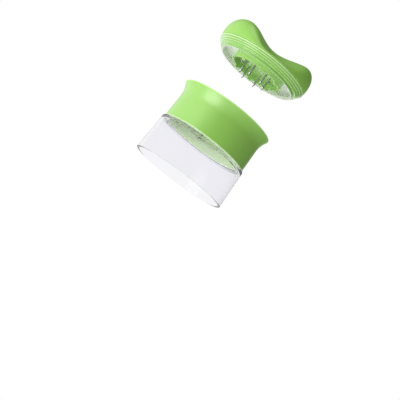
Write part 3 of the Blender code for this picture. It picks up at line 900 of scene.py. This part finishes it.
def make_guide():
    """Funnel outside, foot flange, and the throat inside."""
    flange_top = guide_bottom + guide_flange
    outline = [
        (guide_radius, guide_top, 0.2),
        (guide_radius, guide_top - guide_wall, 0.5),
        (feed_bore + guide_wall, flange_top + guide_wall / 2, 0.5),
        (feed_bore + guide_wall, flange_top, 0.3),
        (guide_radius, flange_top, 0.4),
        (guide_radius, guide_bottom, 0.3),
        (feed_bore, guide_bottom, 0.4),
        (feed_bore, flange_top + guide_wall / 2, 1.5),
        (guide_radius - guide_wall / 2, guide_top, 0.4),
    ]
    holes = holes_at(ledge_screws, screw_hole, guide_bottom - mm, guide_bottom + guide_screw_depth)
    return turned_piece("guide_funnel", outline, holes=holes)


finish_piece(make_guide(), "hard_green", "cutter_body", "feed_guide")

# %% [markdown]
# ## Steel pieces
#
# The blade and the comb are flat and already right, so their nodes stay and only take the steel finish.
# The core tube is turned, with its edge ground to a bevel.

# %% Blade, comb and core tube
for node in ("slicing_blade", "julienne_comb"):
    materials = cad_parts[node].data.materials
    materials.clear()
    materials.append(finishes["blade_steel"])

tube_radius = 3.8 * mm
tube_wall = 0.7 * mm
tube_bevel = 1.4 * mm
flange_thickness = 0.8 * mm


def make_core_tube():
    """Bevelled edge, tube, foot flange and bore."""
    outline = [
        (tube_radius, tube_top - tube_bevel, 0.1),
        (tube_radius, tube_bottom + flange_thickness, 0.1),
        (flange_radius, tube_bottom + flange_thickness, 0.2),
        (flange_radius, tube_bottom, 0.2),
        (tube_radius - tube_wall, tube_bottom, 0.2),
        (tube_radius - tube_wall, tube_top, 0),
    ]
    return turned_piece("core_cutter", outline, around=96, steps=5)


finish_piece(make_core_tube(), "blade_steel", "cutter_body", "core_tube")

# %% [markdown]
# Screws are alike but for their size and which way they face. The head's radius, the length and the
# place come from the node's box. The head is a low dome with a driver slot across a share of its height.

# %% Make the screws
driver_slot_width = 0.6 * mm
driver_slot_share = 0.45
small_screw = {"shank_radius": 1.0 * mm, "head_height": 0.7 * mm, "facing": 1}
ledge_screw = {"shank_radius": 1.0 * mm, "head_height": 1.5 * mm, "facing": -1}
hub_screw = {"shank_radius": 1.2 * mm, "head_height": 1.6 * mm, "facing": -1}


def make_screw(node, shank_radius, head_height, facing):
    """A turned screw. facing is 1 where the head is up, or else -1. The dome's level is the head's top
    minus half its height times (radius / head radius) squared."""
    low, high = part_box(node)
    head_radius = (high.x - low.x) / 2
    length = high.z - low.z
    share = np.linspace(0, 1, 8)
    dome = np.stack([head_radius * share, length - head_height / 2 * share**2], axis=1)
    rest = [
        (head_radius, length - head_height),
        (shank_radius, length - head_height),
        (shank_radius, shank_radius),
        (0.0, 0.0),
    ]
    grid = turned_grid(np.concatenate([dome, rest]), around=40)
    corner = np.array([head_radius + mm, driver_slot_width / 2])
    slot_bottom = length - driver_slot_share * head_height
    slot = prism_grid(rectangle(-corner, corner), slot_bottom, length + mm)
    piece = add_piece(f"{node}_fine", grid, holes=[slot])
    foot = Vector((*middle_of(node), low.z if facing > 0 else high.z))
    piece.data.transform(Matrix.Translation(foot) @ Matrix.Diagonal((1, facing, facing, 1)))
    return piece


for node in deck_screws:
    finish_piece(make_screw(node, **small_screw), "blade_steel", "cutter_body", node)
for node in ledge_screws:
    finish_piece(make_screw(node, **ledge_screw), "blade_steel", "cutter_body", node)

# %% [markdown]
# ## The guard
#
# The guard is one moulding of even thickness: a wall that tapers into the collar's mouth, a plug ring that
# centres it there, and a thin plate. From the side it shows fine lines. Some are its edges, so every corner
# is rounded on its own. The others are fine ribs: a cosine that is taken off the wall's radius.

# %% Make the guard
plug_wall = 1.8 * mm
plate_thickness = 2.4 * mm
guard_taper = 4.4 * mm
guard_haunch = 2.7 * mm
rib_depth = 0.3 * mm
rib_points = 49
plug_inset = 6.7 * mm
hub_shoulder = 4.0 * mm
plug_radius = guard_radius - plug_inset
hub_bore = hub_radius - hub_shoulder + fit_gap
plate_bottom = guard_top - plate_thickness


def make_guard():
    """Ribbed tapered wall, plug ring, plate and the hub's bore. Along the wall the radius falls by the
    taper, and by the rib depth times (1 - cos(2 pi ribs share)) / 2."""
    plug_bore = plug_radius - plug_wall
    share = np.linspace(0, 1, rib_points)[2:-2]
    dip = rib_depth * (1 - np.cos(2 * np.pi * rib_count * share)) / 2
    level = wall_top + (wall_bottom - wall_top) * share
    ribs = np.stack([guard_radius - guard_taper * share - dip, level, 0 * share], axis=1)
    outline = [
        (guard_radius, guard_top, 0.4),
        (guard_radius, wall_top, 0.2),
        *ribs.tolist(),
        (guard_radius - guard_taper, wall_bottom, 0.3),
        (plug_radius, wall_bottom, 0.5),
        (plug_radius, plug_bottom, 0.4),
        (plug_bore, plug_bottom, 0.4),
        (plug_bore, plate_bottom - guard_haunch, 0.8),
        (plug_bore + guard_haunch, plate_bottom, 0.8),
        (hub_bore, plate_bottom, 0.2),
        (hub_bore, guard_top, 0.2),
    ]
    return turned_piece("guard_flange", outline)


finish_piece(make_guard(), "clear_guard", "guard", "holder_guard")

# %% [markdown]
# ## The hub
#
# The hub hangs through the guard and ends in a rim with eight tabs. It is a turned profile whose lower
# edge drops where a tab is. The remainder of the angle over the tabs' spacing tells how far the nearest
# tab is.

# %% Make the hub
tab_count = 8
tab_width = np.radians(9)
tab_turn = np.radians(41)
tab_drop = 1.8 * mm
tab_flank = np.radians(1.0)
tab_root, tab_slope = 2.0 * mm, 1.5 * mm
hub_ceiling = 4.5 * mm
hub_rim_wall = 2.2 * mm
prong_hole, hub_screw_hole = 1.3 * mm, 1.5 * mm
head_seat_radius, head_seat_depth = 2.0 * mm, 1.1 * mm
rim_bottom = tab_bottom + tab_drop
socket_top = hub_top - hub_ceiling
prong_nodes = [f"food_prong_{number}" for number in range(1, 7)]
hub_screw_nodes = [f"hub_screw_{number}" for number in range(1, 4)]


def smooth_step(share):
    """0 below 0, 1 above 1, and 3 s^2 - 2 s^3 between."""
    share = np.clip(share, 0, 1)
    return share * share * (3 - 2 * share)


def make_hub():
    """A point's level drops by the tab's drop, times how far the angle is inside a tab, times how near
    the point is to the rim's edge."""
    outline = [
        (0, hub_top, 0),
        (hub_bore - fit_gap, hub_top, 0.3),
        (hub_bore - fit_gap, plate_bottom - fit_gap, 0.1),
        (hub_radius, plate_bottom - fit_gap, 0.5),
        (hub_radius, rim_bottom, 0.4),
        (hub_radius - hub_rim_wall, rim_bottom, 0.4),
        (hub_radius - hub_rim_wall, socket_top, 0.6),
        (0, socket_top, 0),
    ]
    grid = turned_grid(soften(outline), around=720)
    angle = np.arctan2(grid[..., 1], grid[..., 0])
    spacing = 2 * np.pi / tab_count
    from_tab = np.abs((angle - tab_turn + spacing / 2) % spacing - spacing / 2)
    on_tab = smooth_step((tab_width / 2 - from_tab) / tab_flank + 0.5)
    near_edge = smooth_step((rim_bottom + tab_root - grid[..., 2]) / tab_slope)
    grid[..., 2] -= tab_drop * on_tab * near_edge
    low, high = socket_top - mm, hub_top + mm
    screw_holes = holes_at(hub_screw_nodes, hub_screw_hole, low, high)
    holes = holes_at(prong_nodes, prong_hole, low, high) + screw_holes
    piece = add_piece("hub_rim", grid, holes=holes)
    cut_away(piece, holes_at(prong_nodes, head_seat_radius, hub_top - head_seat_depth, high))
    return piece


finish_piece(make_hub(), "hard_green", "holder", "food_hub")

# %% [markdown]
# Six steel pins hang from the hub, each with a flat head above and a sharp point below. Three screws
# come up through the hub into the grip's core.

# %% Make the pins and the hub's screws
prong_radius = 1.0 * mm
prong_head = 0.8 * mm
prong_point = 3.0 * mm


def make_prong(node):
    """A turned pin: flat head, shank and a straight point."""
    low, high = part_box(node)
    head_radius = (high.x - low.x) / 2
    head_bottom = high.z - prong_head
    outline = [
        (0, high.z, 0),
        (head_radius, high.z, 0.2),
        (head_radius, head_bottom, 0.1),
        (prong_radius, head_bottom, 0.1),
        (prong_radius, low.z + prong_point, 0.8),
        (0, low.z, 0),
    ]
    grid = turned_grid(soften(outline, steps=6), around=40)
    grid[..., :2] += middle_of(node)
    return add_piece(f"{node}_fine", grid)


for node in prong_nodes:
    finish_piece(make_prong(node), "blade_steel", "holder", node)
for node in hub_screw_nodes:
    finish_piece(make_screw(node, **hub_screw), "blade_steel", "holder", node)

# %% [markdown]
# ## The saddle grip
#
# The grip isn't turned. It is a dome over a disc, low in the middle, with a lobe at each end of X that the
# fingers pull on and a scoop at each end of Y that they fit in. A subdivided cage could be pushed into
# that form by eye. A formula gives it smooth and exactly inside the model.

# %% The saddle formula
lobe_bulge = 1.0 * mm
centre_height = 15.0 * mm
lobe_rise = 7.0 * mm
lobe_reach = 40.0 * mm
waist_width = 23.0 * mm
lobe_widening = 24.0 * mm
edge_power = 12.0
edge_softness = 0.42


def saddle_grid(inset, rows, columns):
    """Rows run from the middle to the rim and columns round the axis. With r the share of the radius:
    edge = (1 - r^12)^0.42 falls from 1 to 0 at the rim.
    rise = smooth step of |x| / lobe reach lifts the lobes.
    fall = 1 / (1 + (|y| / width)^4) makes the scoops, the width growing with the rise.
    level = (centre height + lobe rise times rise) times fall times edge."""
    share = np.sin(np.linspace(0, np.pi / 2, rows))[:, None]
    angle = np.linspace(0, 2 * np.pi, columns, endpoint=False)[None, :]
    edge = (1 - share**edge_power) ** edge_softness
    lobe = smooth_step(np.cos(angle) ** 2)
    across = (guard_radius - inset) * share + lobe_bulge * lobe * np.sin(np.pi * edge) * share
    x = across * np.cos(angle)
    y = across * np.sin(angle)
    rise = smooth_step(np.abs(x) / lobe_reach)
    height = centre_height + lobe_rise * rise - inset
    width = waist_width + lobe_widening * rise - inset
    fall = 1 / (1 + (np.abs(y) / width) ** 4)
    return np.stack([x, y, grip_bottom + height * fall * edge], axis=-1)


# %% [markdown]
# The cover is a thick skin: the outer form from the middle to the rim, its flat underside, then the same
# form drawn in by the wall, back to the middle. It is one grid with a pole at each end. The core fills the
# skin, a fit apart, and is closed by a flat disc below.

# %% Make the grip
grip_wall = 3.0 * mm
core_clearance = 0.4 * mm
rim_setback = 0.5 * mm
cover_rows, inner_rows, rim_rows = 110, 60, 7
cover_columns, core_columns = 288, 192
core_screw_depth = 7.3 * mm


def make_cover():
    """Outer form, a quarter round at the rim, the underside and the inner form, in one grid."""
    outer = saddle_grid(0.0, cover_rows, cover_columns)
    outer[..., 2] = np.maximum(outer[..., 2], grip_bottom + rim_setback)
    inner = saddle_grid(grip_wall - core_clearance, inner_rows, cover_columns)[::-1]
    bend = np.linspace(0, np.pi / 2, rim_rows)[1:, None]
    direction = outer[-1:, :, :2] / np.linalg.norm(outer[-1:, :, :2], axis=-1, keepdims=True)
    radius = guard_radius - rim_setback * (1 - np.cos(bend))
    level = grip_bottom + rim_setback * (1 - np.sin(bend))
    sides, heights = radius[..., None] * direction, level[..., None] + 0 * direction[..., :1]
    round_rows = np.concatenate([sides, heights], axis=-1)
    return add_piece("grip_skin", np.concatenate([outer, round_rows, inner]))


def make_core():
    """The saddle drawn in by the wall, closed by its rim's middle point."""
    dome = saddle_grid(grip_wall, inner_rows, core_columns)
    middle = 0 * dome[-1:] + (0.0, 0.0, grip_bottom)
    low, high = grip_bottom - mm, grip_bottom + core_screw_depth
    holes = holes_at(hub_screw_nodes, hub_screw_hole, low, high)
    return add_piece("grip_heart", np.concatenate([dome, middle]), holes=holes)


finish_piece(make_cover(), "soft_green", "holder", "grip_cover")
finish_piece(make_core(), "core_plastic", "holder", "grip_core")

# %% [markdown]
# ## The floor
#
# The tool stands on a pale floor that catches its soft shadow. Near the tool it is partly lit and partly
# glows, so it is nearly white and still takes a shadow, and further out it passes into plain white. The
# camera of the photograph is below it, so it is clear from below, which Geometry's Backfacing picks. It is
# only there to be seen, straight or through clear plastic: light on its way to the tool passes through it,
# and gloss mirrors the room instead.

# %% Make the floor
floor_drop = 0.2 * mm
floor_radius = 3.0
floor_lit_share = 0.45
fade_range = (0.10, 0.45)


def make_floor():
    """A disc whose finish goes from lit to glowing white with the distance from the axis."""
    profile = np.array([(0.0, foot_level - floor_drop), (floor_radius, foot_level - floor_drop)])
    floor = new_object("floor", grids_to_mesh("floor", [turned_grid(profile, around=96)]))
    material = bpy.data.materials.new("pale_floor")
    material.use_nodes = True
    tree = material.node_tree
    tree.nodes.clear()
    ray = add_node(tree, "LightPath").outputs
    place = add_node(tree, "NewGeometry").outputs
    distance = vector_math(tree, "LENGTH", "Value", place["Position"])
    fade = remap(tree, distance, fade_range, smooth=True)
    unseen = math(tree, "SUBTRACT", ray["Is Glossy Ray"], ray["Is Transmission Ray"])
    for value in (place["Backfacing"], ray["Is Shadow Ray"], ray["Is Diffuse Ray"]):
        unseen = math(tree, "MAXIMUM", unseen, value)

    grey = (floor_lit_share, floor_lit_share, floor_lit_share, 1)
    lit = add_node(tree, "BsdfDiffuse", {"Color": grey}).outputs[0]
    part_glow = add_node(tree, "Emission", {"Strength": 1 - floor_lit_share}).outputs[0]
    near = add_node(tree, "AddShader", {0: lit, 1: part_glow}).outputs[0]
    far = add_node(tree, "Emission").outputs[0]
    clear = add_node(tree, "BsdfTransparent").outputs[0]
    surface = blend_shaders(tree, unseen, blend_shaders(tree, fade, near, far), clear)
    add_node(tree, "OutputMaterial", {"Surface": surface})
    floor.data.materials.append(material)
    return floor


make_floor()
